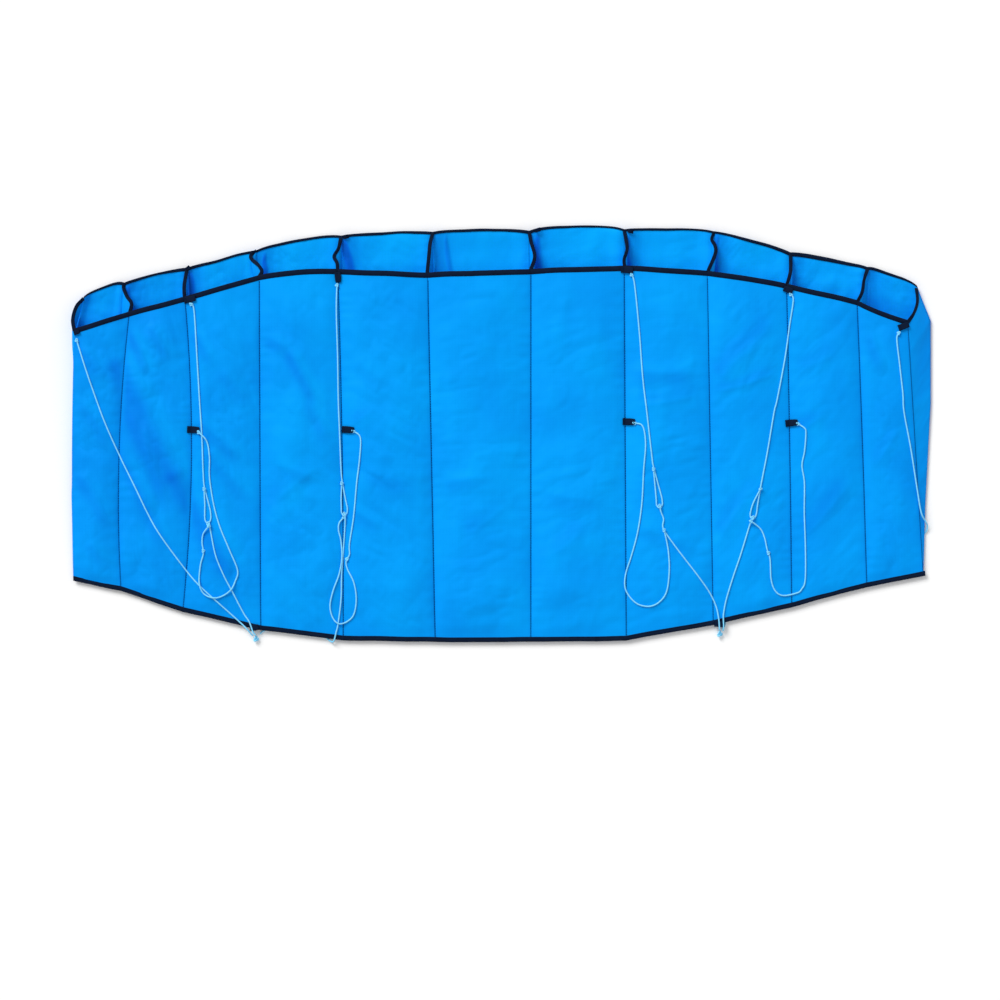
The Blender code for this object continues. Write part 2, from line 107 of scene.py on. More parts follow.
# Front edge of each rib in plan, from the lower leading edge to the upper one
RIB_FRONTS = [
    [(-0.697, 0.167), (-0.7, 0.186), (-0.695, 0.207), (-0.684, 0.221)],
    [(-0.607, 0.195), (-0.604, 0.212), (-0.612, 0.224), (-0.618, 0.238), (-0.617, 0.245)],
    [(-0.517, 0.221), (-0.518, 0.24), (-0.516, 0.258), (-0.514, 0.27)],
    [(-0.395, 0.256), (-0.391, 0.265), (-0.397, 0.275), (-0.408, 0.285), (-0.409, 0.292), (-0.401, 0.299)],
    [(-0.267, 0.265), (-0.268, 0.278), (-0.273, 0.289), (-0.266, 0.303), (-0.262, 0.322)],
    [(-0.121, 0.259), (-0.118, 0.291), (-0.116, 0.312), (-0.112, 0.328)],
    [(0.048, 0.266), (0.055, 0.289), (0.049, 0.313), (0.046, 0.33)],
    [(0.202, 0.27), (0.201, 0.284), (0.206, 0.303), (0.202, 0.331)],
    [(0.337, 0.263), (0.35, 0.293), (0.35, 0.307), (0.345, 0.317), (0.348, 0.328)],
    [(0.466, 0.241), (0.473, 0.264), (0.474, 0.294)],
    [(0.582, 0.215), (0.59, 0.231), (0.594, 0.252), (0.6, 0.269)],
    [(0.664, 0.181), (0.675, 0.197), (0.681, 0.216), (0.68, 0.238)],
]
# How far the lower leading edge bows forward in the middle of each cell
MOUTH_BOW = [0.0, 0.0, 0.0, 0.003, -0.0006, 0.0, 0.0, 0.0, 0.0015, -0.0005, -0.003]
# How far the upper one bulges forward there
NOSE_BULGE = [0.006, 0.003, 0.001, 0.0055, 0.003, 0.004, 0.0075, 0.004, 0.0035, 0.003, 0.005]
CELLS = 11
SHIFT = np.array([-0.000078, 0.00079])
SEAM_TAIL, SEAM_NOSE = 0.0058, 0.027
PUFF = 0.05  # height of a lower panel's crown, as a share of its width
UPPER_SEAM = 0.0034
CLOTH_THICK = 0.0003
SEAM_GAP = 0.0008  # share of a cell's width left clear at each side of its lower panel
MOUTH_TAPE, TAIL_TAPE = 0.0086, 0.0078
CORD_R = 0.0012
# First cell of each body, and the one after its last
BODIES = {
    "outer_left": (0, 3), "inner_left": (3, 5), "centre": (5, 6),
    "inner_right": (6, 8), "outer_right": (8, 11),
}
# Cells whose upper panel lies across a fold between two bodies, from the hinge outwards
BENDING = {
    4: ("centre", "inner_left"), 2: ("inner_left", "outer_left"),
    6: ("centre", "inner_right"), 8: ("inner_right", "outer_right"),
}
RIB_BODY = ["outer_left"] * 3 + ["inner_left"] * 2 + ["centre"] * 2
RIB_BODY += ["inner_right"] * 2 + ["outer_right"] * 3


def body_of_cell(i):
    return next(b for b, (a, z) in BODIES.items() if a <= i < z)


def mix(a, b, f):
    return a + (b - a) * f


def smooth(f):
    f = np.clip(f, 0.0, 1.0)
    return f * f * (3 - 2 * f)


def noise(x, y, seed):
    """Smooth noise between -1 and 1 over the plane."""
    x, y = np.asarray(x, float), np.asarray(y, float)
    ix, iy = np.floor(x), np.floor(y)
    fx, fy = smooth(x - ix), smooth(y - iy)

    def corner(a, b):
        v = np.sin((ix + a) * 127.1 + (iy + b) * 311.7 + seed * 74.7) * 43758.5453
        return (v - np.floor(v)) * 2 - 1

    return mix(mix(corner(0, 0), corner(1, 0), fx), mix(corner(0, 1), corner(1, 1), fx), fy)


def seam_low(i, t):
    nose, tail, _, bow = RIBS[i]
    return mix(tail[0], nose[0], t) + bow * 4 * t * (1 - t), mix(tail[1], nose[1], t)


def seam_up(i, t):
    _, tail, front, bow = RIBS[i]
    t = np.asarray(t, float)
    y = mix(tail[1], front[1], t)
    if i in END_SEAMS:
        line = END_SEAMS[i]
        return np.interp(y, [p[1] for p in line], [p[0] for p in line]), y
    return mix(tail[0], front[0], t**3) + bow * 4 * t * (1 - t), y


def seam_height(t):
    return mix(SEAM_TAIL, SEAM_NOSE, t)


def cell_width(i):
    return RIBS[i + 1][0][0] - RIBS[i][0][0]


# Creases of the lower skin: start and end in plan, height, width, and how deep the painted shade on one
# side of it is, with a painted highlight on the other side
CREASES = [
    (-0.692, 0.15, -0.64, 0.085, 0.001, 0.009, 0.06), (-0.688, 0.06, -0.632, -0.03, 0.001, 0.009, 0.05),
    (-0.69, -0.06, -0.632, -0.16, 0.0012, 0.01, 0.07), (-0.676, -0.17, -0.632, -0.228, 0.0008, 0.008, 0.05),
    (-0.606, 0.178, -0.572, 0.085, 0.0012, 0.008, 0.12), (-0.573, 0.182, -0.535, 0.11, 0.0009, 0.008, 0.07),
    (-0.622, 0.135, -0.52, -0.09, 0.0024, 0.018, 0.15), (-0.612, 0.055, -0.545, -0.12, 0.0012, 0.01, 0.08),
    (-0.622, -0.02, -0.54, -0.195, 0.0012, 0.01, 0.08), (-0.535, -0.05, -0.425, -0.24, 0.002, 0.016, 0.15),
    (-0.5, 0.175, -0.462, 0.105, 0.001, 0.008, 0.08), (-0.497, 0.03, -0.415, -0.045, 0.0014, 0.01, 0.08),
    (-0.486, -0.02, -0.405, -0.11, 0.0012, 0.01, 0.07), (-0.455, 0.11, -0.402, 0.04, 0.0008, 0.01, 0.05),
    (-0.385, 0.165, -0.335, 0.125, 0.001, 0.009, 0.08), (-0.35, 0.14, -0.29, 0.04, 0.0015, 0.009, 0.13),
    (-0.32, 0.06, -0.276, -0.02, 0.001, 0.009, 0.08), (-0.385, -0.13, -0.29, -0.045, 0.0012, 0.014, -0.05),
    (-0.38, -0.045, -0.285, -0.08, 0.0008, 0.01, 0.04), (-0.25, -0.12, -0.19, -0.16, 0.001, 0.009, 0.07),
    (-0.245, 0.01, -0.2, 0.045, 0.0008, 0.008, -0.05), (-0.24, 0.13, -0.18, 0.07, 0.0008, 0.012, 0.04),
    (-0.225, -0.06, -0.135, -0.085, 0.0008, 0.012, 0.04), (-0.1, -0.075, -0.01, -0.068, 0.0008, 0.01, 0.05),
    (-0.06, -0.17, 0.02, -0.11, 0.0008, 0.012, -0.04), (0.06, -0.215, 0.15, -0.15, 0.001, 0.014, -0.05),
    (0.07, -0.1, 0.18, -0.11, 0.0008, 0.012, 0.04), (0.212, 0.105, 0.325, 0.098, 0.001, 0.012, 0.06),
    (0.215, 0.045, 0.33, 0.062, 0.0012, 0.01, -0.05), (0.225, -0.15, 0.32, -0.19, 0.001, 0.012, 0.05),
    (0.352, 0.085, 0.452, 0.19, 0.0018, 0.015, -0.11), (0.345, 0.062, 0.46, 0.098, 0.0012, 0.008, -0.07),
    (0.356, -0.17, 0.43, -0.065, 0.0014, 0.013, -0.08), (0.48, 0.0, 0.535, 0.035, 0.0012, 0.01, -0.1),
    (0.482, 0.1, 0.56, 0.14, 0.001, 0.012, -0.05), (0.5, -0.17, 0.58, -0.07, 0.0012, 0.014, -0.07),
    (0.598, 0.17, 0.632, 0.095, 0.001, 0.009, 0.08), (0.612, -0.06, 0.662, 0.02, 0.001, 0.01, -0.05),
]
# The way the crumple of each cell runs, in radians from the span
CRUMPLE_RUN = [-1.0, -1.15, -1.05, -0.95, -0.6, 0.15, 0.35, 0.25, 0.8, 0.85, -1.0]
# How strong the crumple of each cell is
CRUMPLE_SIZE = [1.2, 1.2, 1.2, 1.1, 0.8, 0.55, 0.55, 0.55, 0.65, 0.65, 0.9]


def crease_frame(x, y, ax, ay, bx, by, wander):
    """Distance from a crease's line, and how present the crease is there, 0 to 1."""
    length = math.hypot(bx - ax, by - ay)
    ex, ey = (bx - ax) / length, (by - ay) / length
    along = (x - ax) * ex + (y - ay) * ey
    off = (x - ax) * -ey + (y - ay) * ex + 0.004 * noise(along * 20, wander, 41)
    return off, smooth(along / 0.02) * smooth((length - along) / 0.035)


def near_creases(x, y):
    """The creases whose ends reach the box round these points."""
    for crease in CREASES:
        ax, ay, bx, by = crease[:4]
        if min(ax, bx) - 0.06 < x.max() and x.min() < max(ax, bx) + 0.06:
            if min(ay, by) - 0.06 < y.max() and y.min() < max(ay, by) + 0.06:
                yield crease


def crumple(i, x, y, seed):
    """Facets and crisp edges of coated ripstop, longer along the cell's own run."""
    run = CRUMPLE_RUN[i]
    p = (x * -math.sin(run) + y * math.cos(run)) + 0.006 * noise(x * 24, y * 24, 91 + seed)
    q = x * math.cos(run) + y * math.sin(run)
    patchy = 0.45 + 0.55 * smooth(0.5 + 0.8 * noise(x * 11, y * 8, 92 + seed + i))
    relief = 0.0026 * np.abs(noise(p / 0.034, q / 0.075, 93 + seed + i))
    relief = relief + 0.0015 * np.abs(noise(p / 0.017, q / 0.034, 94 + seed + i)) * patchy
    relief = relief + 0.0007 * np.abs(noise(p / 0.0085, q / 0.014, 95 + seed + i)) * patchy
    return relief * CRUMPLE_SIZE[i]


PUCKER_PITCH, PUCKER_OUT = 0.023, 0.007  # between the puckers of a seam, and how far out they peak


def wrinkles(i, u, x, y, seed=0):
    """Small relief of a cloth panel: seam puckers, a slow swell, crumple and the creases."""
    d = np.clip(np.minimum(u, 1 - u), 0, 1) * cell_width(i)
    side = np.where(u < 0.5, 1.0, 2.0) + i * 2 + seed
    phase = noise(y * 17, side * 3.3, 5 + seed) * 7
    patchy = 0.35 + 0.65 * smooth(0.5 + noise(y * 9, side * 1.9, 6 + seed))
    ripple = np.sin(2 * math.pi * y / PUCKER_PITCH + phase + side)
    pucker = 0.00026 * patchy * (d / PUCKER_OUT) * np.exp(1 - d / PUCKER_OUT) * ripple
    away = 1 - np.exp(-d / 0.018)
    swell = 0.0026 * noise(x * 9 + 3 * i, y * 7, 11 + seed) + 0.0014 * noise(x * 21, y * 17 + i, 12 + seed)
    relief = (swell + crumple(i, x, y, seed)) * away + pucker
    if seed == 0:
        for ax, ay, bx, by, high, broad, _ in near_creases(x, y):
            off, present = crease_frame(x, y, ax, ay, bx, by, ax * 99)
            relief = relief + 1.6 * high * np.exp(-np.abs(off / broad) ** 1.3) * present * away
    return relief


def plan_low(i, u, t):
    (ax, ay), (bx, by) = seam_low(i, t), seam_low(i + 1, t)
    return mix(ax, bx, u), mix(ay, by, u)


def plan_up(i, u, t):
    (ax, ay), (bx, by) = seam_up(i, t), seam_up(i + 1, t)
    return mix(ax, bx, u), mix(ay, by, u)


def chord(plan, i, u):
    return plan(i, u, 1.0)[1] - plan(i, u, 0.0)[1]


def low_surface(i, u, t):
    """Points of the lower skin's outer face over cell i, as an array."""
    u, t = np.broadcast_arrays(np.asarray(u, float), np.asarray(t, float))
    x, y = plan_low(i, u, t)
    ramp = smooth(t / 0.16) * (1 - 0.35 * smooth((t - 0.85) / 0.15))
    puff = PUFF * cell_width(i) * np.clip(4 * u * (1 - u), 0, 1) ** 0.85 * ramp
    y = y + MOUTH_BOW[i] * np.clip(4 * u * (1 - u), 0, 1) * smooth((t - 0.85) / 0.15)
    calm_edges = smooth(t / 0.05) * (1 - 0.5 * smooth((t - 0.93) / 0.07))
    z = seam_height(t) + puff + wrinkles(i, u, x, y) * calm_edges
    front_wave = 0.0012 * noise(x * 22, 0.5, 3) * smooth((t - 0.9) / 0.1)
    y = y + front_wave + 0.0009 * noise(x * 25, 7.5, 4) * smooth((0.1 - t) / 0.1)
    return np.stack([x + SHIFT[0], y + SHIFT[1], z], -1)


# Cloth of the rib at a cell's left, folded on the upper skin inside the mouth: how far the fold is
# from the rib at the upper and at the lower leading edge, its width, and how much painted shade darkens its
# two layers
RIB_FOLDS = {
    1: (0.006, 0.008, 0.006, 0.19), 2: (0.006, 0.01, 0.009, 0.25), 3: (0.013, 0.014, 0.006, 0.22),
    4: (0.006, 0.022, 0.011, 0.25), 5: (0.02, 0.034, 0.006, 0.13), 6: (0.013, 0.018, 0.009, 0.21),
    7: (0.006, 0.008, 0.005, 0.15), 8: (0.006, 0.004, 0.006, 0.15),
}


def fold_band(i, x, y):
    """How much of the fold beside rib i is at a point in plan, 0 to 1."""
    near, far, wide, _ = RIB_FOLDS[i]
    (_, ly), (ux, uy) = RIBS[i][0], RIBS[i][2]
    f = (uy - 0.006 - y) / (uy - ly + 0.024)
    middle = ux + mix(near, far, smooth(f)) + 0.0015 * noise(f * 5, i * 1.3, 81)
    half = wide * (0.4 + 0.25 * smooth(f / 0.3))
    return np.exp(-np.abs((x - middle) / half) ** 3) * smooth((f + 0.08) / 0.2) * smooth((1.4 - f) / 0.4)


def up_surface(i, u, t):
    """Points of the upper skin's underside over cell i: a belly on the floor with a lifted lip."""
    u, t = np.broadcast_arrays(np.asarray(u, float), np.asarray(t, float))
    x, y = plan_up(i, u, t)
    edge = np.minimum(u, 1 - u)
    belly = smooth((edge - 0.04) / 0.16) * smooth((t - 0.05) / 0.08)
    y = y + NOSE_BULGE[i] * (1 - (2 * u - 1) ** 4) * smooth((t - 0.8) / 0.2)
    lip = smooth((t - 0.93) / 0.07)
    rough = wrinkles(i, u, x, y, 7)
    z = UPPER_SEAM * (1 - belly) + 0.0045 * lip**1.5 * (0.7 + 0.3 * noise(x * 18, 1.5, 9))
    z = z + np.maximum(0.0, rough + 0.0006) * smooth((t - 0.1) / 0.1) * 1.2
    if i in RIB_FOLDS:
        z = z + 0.0014 * fold_band(i, x, y)
    y = y + 0.001 * noise(x * 30, 3.5, 6) * lip
    return np.stack([x + SHIFT[0], y + SHIFT[1], z], -1)


def locate(x, y):
    """Cell, position across it and position along the chord of a plan point on the lower skin."""
    x, y = x - SHIFT[0], y - SHIFT[1]
    for i in range(CELLS):
        if i < CELLS - 1 and x > max(RIBS[i + 1][0][0], RIBS[i + 1][1][0]) + 0.02:
            continue
        u = 0.5
        for _ in range(12):
            lo, hi = plan_low(i, u, 0.0)[1], plan_low(i, u, 1.0)[1]
            t = (y - lo) / (hi - lo)
            a, b = seam_low(i, t)[0], seam_low(i + 1, t)[0]
            u = min(1.3, max(-0.3, (x - a) / (b - a)))
        if u <= 1.0 or i == CELLS - 1:
            return i, min(1.0, max(0.0, u)), t


def on_top(x, y):
    i, u, t = locate(x, y)
    return float(low_surface(i, u, min(1.0, max(0.0, t)))[..., 2])


# ---- materials
RIPSTOP, YARN = 0.005, 0.0005  # pitch of the ripstop grid and of the weave
BRAID = 0.0014  # pitch of the cord's strands
TAPE_RIB, TAPE_YARN = 0.0009, 0.0012
# Turn, stretch, scale and depth of each layer of small creases
CREASE_LAYERS = [(0.7, 0.45, 11.0, 0.004), (-0.9, 0.5, 23.0, 0.003), (0.5, 0.6, 48.0, 0.0012)]


class Look:
    """A material, with short ways to add nodes. A value is a number or another node's output."""

    def __init__(self, name, rough, gloss):
        self.mat = bpy.data.materials.new(name)
        self.mat.use_nodes = True
        self.tree = self.mat.node_tree
        self.shader = self.tree.nodes["Principled BSDF"]
        self.put(self.shader, {"Roughness": rough, "Specular IOR Level": gloss})

    def put(self, node, values):
        for socket, value in values.items():
            if isinstance(value, bpy.types.NodeSocket):
                self.tree.links.new(value, node.inputs[socket])
            else:
                node.inputs[socket].default_value = value

    def add(self, kind, values):
        node = self.tree.nodes.new("ShaderNode" + kind)
        self.put(node, values)
        return node

    def maths(self, kind, *values):
        node = self.add("Math", dict(enumerate(values)))
        node.operation = kind
        return node.outputs[0]

    def cloth_place(self):
        """The place on the cloth in metres: as a vector, along it and across it."""
        place = self.add("UVMap", {})
        place.uv_map = "cloth"
        split = self.add("SeparateXYZ", {0: place.outputs["UV"]})
        return place.outputs["UV"], split.outputs[0], split.outputs[1]

    def lines(self, coordinate, period, sharp=1):
        """1 on thin lines every period metres along one coordinate, 0 between."""
        turn = self.maths("MULTIPLY", coordinate, math.pi / period)
        wave = self.maths("ABSOLUTE", self.maths("SINE", turn))
        return self.maths("POWER", self.maths("SUBTRACT", 1.0, wave), sharp)

    def bump(self, height, strength, depth=0.0002):
        """Relief over what the shader's normal already has."""
        node = self.add("Bump", {"Strength": strength, "Distance": depth, "Height": height})
        normal = self.shader.inputs["Normal"]
        if normal.is_linked:
            self.put(node, {"Normal": normal.links[0].from_socket})
        self.put(self.shader, {"Normal": node.outputs["Normal"]})
        return node

    def colour(self, level, stops):
        ramp = self.add("ValToRGB", {"Fac": level})
        while len(ramp.color_ramp.elements) < len(stops):
            ramp.color_ramp.elements.new(0.5)
        for e, (at, colour) in zip(ramp.color_ramp.elements, stops):
            e.position, e.color = at, (*colour, 1)
        self.put(self.shader, {"Base Color": ramp.outputs["Color"]})


def cloth_material(name, deep, mid, light):
    """Ripstop: a fine plain weave with a raised grid, uneven in tone, and small creases."""
    look = Look(name, 0.55, 0.04)
    place, along, across = look.cloth_place()
    grid = look.maths("MAXIMUM", look.lines(along, RIPSTOP, 9), look.lines(across, RIPSTOP, 9))
    weave = look.maths("MULTIPLY", look.lines(along, YARN), look.lines(across, YARN))
    height = look.maths("ADD", look.maths("MULTIPLY", grid, 0.5), look.maths("MULTIPLY", weave, 0.25))
    look.bump(height, 0.35)
    veins = []
    for turn, stretch, scale, deep_by in CREASE_LAYERS:
        lay = look.add("Mapping", {"Rotation": (0, 0, turn), "Scale": (1.0, stretch, 1.0), "Vector": place})
        crease = look.add("TexNoise", {"Vector": lay.outputs["Vector"]})
        crease.noise_type = "RIDGED_MULTIFRACTAL"
        look.put(crease, {"Scale": scale, "Detail": 3.0})
        veins.append(crease.outputs["Fac"])
        look.bump(veins[-1], 0.8, deep_by)
    cloud = look.add("TexNoise", {"Scale": 7.0, "Detail": 5.0, "Vector": place})
    tone = look.add("Attribute", {})
    tone.attribute_name = "tone"
    level = look.maths("ADD", look.maths("MULTIPLY", cloud.outputs["Fac"], 0.3), tone.outputs["Fac"])
    level = look.maths("SUBTRACT", level, look.maths("MULTIPLY", grid, 0.05))
    both = look.maths("MULTIPLY", look.maths("ADD", *veins[:2]), 0.07)
    level = look.maths("ADD", level, look.maths("SUBTRACT", both, 0.05))
    look.colour(level, [(0.0, (0.0005, 0.012, 0.09)), (0.35, deep), (0.75, mid), (1.0, light)])
    return look.mat


def tape_material():
    """Woven navy binding tape: fine cross ribs, uneven in tone."""
    look = Look("navy_tape", 0.8, 0.08)
    place, along, across = look.cloth_place()
    rib, edge = look.lines(along, TAPE_RIB), look.lines(across, TAPE_YARN)
    cloud = look.add("TexNoise", {"Scale": 60.0, "Vector": place})
    patches = look.maths("MULTIPLY", cloud.outputs["Fac"], 0.6)
    level = look.maths("ADD", look.maths("MULTIPLY", rib, 0.35), patches)
    dark, mid, pale = (0.001, 0.0035, 0.014), (0.0025, 0.0095, 0.032), (0.006, 0.02, 0.06)
    look.colour(level, [(0.0, dark), (0.5, mid), (1.0, pale)])
    height = look.maths("ADD", rib, look.maths("MULTIPLY", edge, 0.3))
    look.bump(height, 0.6)
    return look.mat


def cord_material():
    """Braided line: two sets of strands that cross."""
    look = Look("bridle_cord", 0.7, 0.15)
    _, along, across = look.cloth_place()
    a = look.lines(look.maths("ADD", along, across), BRAID)
    b = look.lines(look.maths("SUBTRACT", along, across), BRAID)
    groove = look.maths("MAXIMUM", a, b)
    # painted shade: the cord is darker in the grooves between its strands
    look.colour(groove, [(0.0, (0.28, 0.77, 1.0)), (1.0, (0.16, 0.57, 0.94))])
    look.bump(groove, 0.5).invert = True
    return look.mat


def thread_material(name, dark, pale):
    """Sewing thread, uneven between two shades."""
    look = Look(name, 0.7, 0.05)
    cloud = look.add("TexNoise", {"Scale": 90.0})
    look.colour(cloud.outputs["Fac"], [(0.3, dark), (0.7, pale)])
    return look.mat


# ---- mesh builders


def mesh_object(name, verts, faces, material, uvs=None, tones=None):
    """A smooth-shaded mesh. uvs and tones are one per vertex."""
    mesh = bpy.data.meshes.new(name)
    points = np.asarray(verts, float).reshape(-1, 3)
    mesh.from_pydata([tuple(v) for v in points], [], [tuple(f) for f in faces])
    mesh.materials.append(material)
    corners = np.zeros(len(mesh.loops), int)
    mesh.loops.foreach_get("vertex_index", corners)
    if uvs is not None:
        layer = mesh.uv_layers.new(name="cloth")
        layer.data.foreach_set("uv", np.asarray(uvs, np.float32).reshape(-1, 2)[corners].ravel())
    if tones is not None:
        tone = mesh.attributes.new("tone", "FLOAT", "POINT")
        tone.data.foreach_set("value", np.asarray(tones, np.float32).ravel())
    mesh.shade_smooth()
    obj = bpy.data.objects.new(name, mesh)
    bpy.context.scene.collection.objects.link(obj)
    return obj


def grid_faces(rows, cols, wrap=False):
    i, j = np.meshgrid(np.arange(rows - 1), np.arange(cols if wrap else cols - 1), indexing="ij")
    k = (j + 1) % cols
    corners = [i * cols + j, i * cols + k, (i + 1) * cols + k, (i + 1) * cols + j]
    return np.stack(corners, -1).reshape(-1, 4)


def grid_places(down, across):
    """Texture places of a grid in metres, from the run of its rows and of its columns."""
    return np.stack(np.broadcast_arrays(down[:, None], across[None, :]), -1)


def thicken(obj, thickness, offset):
    mod = obj.modifiers.new("thickness", "SOLIDIFY")
    mod.thickness = thickness
    mod.offset = offset
    return obj


def arc_lengths(points):
    steps = np.linalg.norm(np.diff(points, axis=0), axis=-1)
    return np.concatenate([[0.0], np.cumsum(steps)])


def frames_along(line):
    """Side and normal at each point of a centreline, without twist."""
    tangent = np.gradient(line, axis=0)
    tangent /= np.linalg.norm(tangent, axis=1, keepdims=True)
    normal = np.zeros_like(line)
    n = np.array([0.0, 0.0, 1.0])
    for k, t in enumerate(tangent):
        n = n - t * n.dot(t)
        n /= np.linalg.norm(n)
        normal[k] = n
    return np.cross(tangent, normal), normal


def tube(name, line, radius, material, sides=10):
    """A closed tube along a centreline, with rounded ends and a slight strand relief."""
    line = np.asarray(line, float)
    side, normal = frames_along(line)
    run = arc_lengths(line)
    turn = np.linspace(0, 2 * math.pi, sides, endpoint=False)
    grow = np.minimum(1.0, np.sqrt(np.clip(np.minimum(run, run[-1] - run) / radius + 0.12, 0, 1)))
    relief = 1 + 0.05 * np.cos(2 * (turn[None, :] - run[:, None] / 0.0022))
    r = (radius * grow)[:, None] * relief
    out = side[:, None] * (r * np.cos(turn))[..., None] + normal[:, None] * (r * np.sin(turn))[..., None]
    ring = line[:, None] + out
    faces = [tuple(f[::-1]) for f in grid_faces(len(line), sides, wrap=True)]
    total = len(line) * sides
    faces += [tuple(range(sides)), tuple(range(total - 1, total - sides - 1, -1))]
    uv = grid_places(run, turn * radius)
    return mesh_object(name, ring, faces, material, uv)


def ribbon(name, line, wide, sides_dir, thickness, material):
    """A band of tape: line is its middle, sides_dir the direction of its width at each point."""
    line = np.asarray(line, float)
    half = np.asarray(sides_dir, float)
    half = half / np.linalg.norm(half, axis=1, keepdims=True)
    across = np.linspace(-0.5, 0.5, 5)
    pts = line[:, None] + half[:, None] * (across * wide)[None, :, None]
    run = arc_lengths(line)
    uv = grid_places(run, across * wide)
    return thicken(mesh_object(name, pts, grid_faces(len(line), 5), material, uv), thickness, 0)


def catmull(a, b, c, d, f):
    """The point at share f between b and c of a smooth curve through a, b, c and d."""
    return 0.5 * (2 * b + (c - a) * f + (2 * a - 5 * b + 4 * c - d) * f**2 + (3 * b - a - 3 * c + d) * f**3)


def smooth_line(points, count):
    """A smooth curve through points, evenly spaced."""
    p = np.asarray(points, float)
    p = np.vstack([2 * p[0] - p[1], p, 2 * p[-1] - p[-2]])
    out = []
    for k in range(1, len(p) - 2):
        f = np.linspace(0, 1, 24, endpoint=False)[:, None]
        out.append(catmull(*p[k - 1 : k + 3], f))
    dense = np.vstack(out + [p[-2:-1]])
    run = arc_lengths(dense)
    at = np.linspace(0, run[-1], count)
    return np.stack([np.interp(at, run, dense[:, k]) for k in range(dense.shape[1])], -1)


